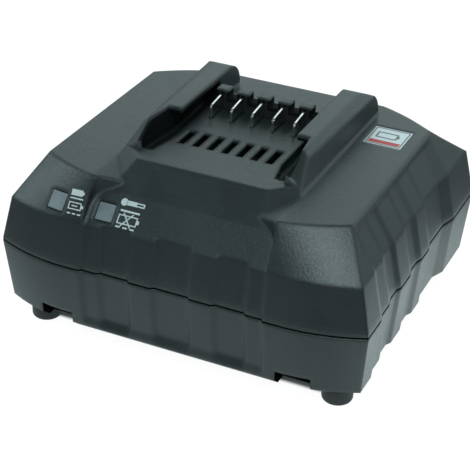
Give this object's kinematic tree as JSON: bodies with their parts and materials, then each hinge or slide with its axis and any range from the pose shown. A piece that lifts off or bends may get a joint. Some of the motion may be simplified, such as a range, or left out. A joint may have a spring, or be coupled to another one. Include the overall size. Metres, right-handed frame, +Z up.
{
  "type": "power tool battery charger",
  "caption": "Slide-on battery charger with stepped ribs, undercut dock rails, air slots, blade contacts and indicator windows",
  "frame": {"origin": "centre of the footprint, on the surface that the feet stand on", "axes": "+X to the right when facing the dock entry, +Y to the rear with the cord gland, +Z up"},
  "size_m": [0.1598, 0.1429, 0.086],
  "materials": {
    "housing": "fine spark-eroded texture, charcoal grey",
    "foot": "matt",
    "screw": "zinc plated",
    "carrier": "smooth black",
    "blade": "bright",
    "window": "pale grey, diffusing",
    "circuit_board": "solder mask",
    "led": "clear epoxy",
    "badge": "satin",
    "ferrite": "ground ferrite",
    "winding": "polyester tape",
    "copper": "enamelled wire",
    "capacitor": "sleeved can",
    "sink": "extruded",
    "package": "moulded epoxy",
    "fuse": "glass tube",
    "terminal": "smooth",
    "gland": "smooth",
    "fan": "smooth"
  },
  "bodies": {
    "charger": {"upper_housing": "housing", "lower_housing": "housing", "foot_front_left": "foot", "foot_front_right": "foot", "foot_rear_left": "foot", "foot_rear_right": "foot", "housing_screws": "screw", "contact_carrier": "carrier", "contact_blade_1": "blade", "contact_blade_2": "blade", "contact_blade_3": "blade", "contact_blade_4": "blade", "contact_blade_5": "blade", "charge_window": "window", "fault_window": "window", "indicator_board": "circuit_board", "indicator_leds": "led", "badge_plate": "badge", "main_board": "circuit_board", "board_screws": "screw", "transformer_core": "ferrite", "transformer_winding": "winding", "choke_core": "ferrite", "choke_winding": "copper", "mains_capacitor": "capacitor", "output_capacitors": "capacitor", "heat_sink": "sink", "power_transistors": "package", "fuse": "fuse", "mains_terminal": "terminal", "cord_gland": "gland", "contact_board": "circuit_board", "riser_board": "circuit_board", "fan_frame": "fan", "fan_screws": "screw"},
    "fan": {"fan_rotor": "fan"}
  },
  "joints": [
    {"name": "fan_spin", "type": "hinge", "parent": "charger", "child": "fan", "pos_m": [0, -0.0185, 0.066], "axis": [0, 0, 1], "continuous": true}
  ]
}
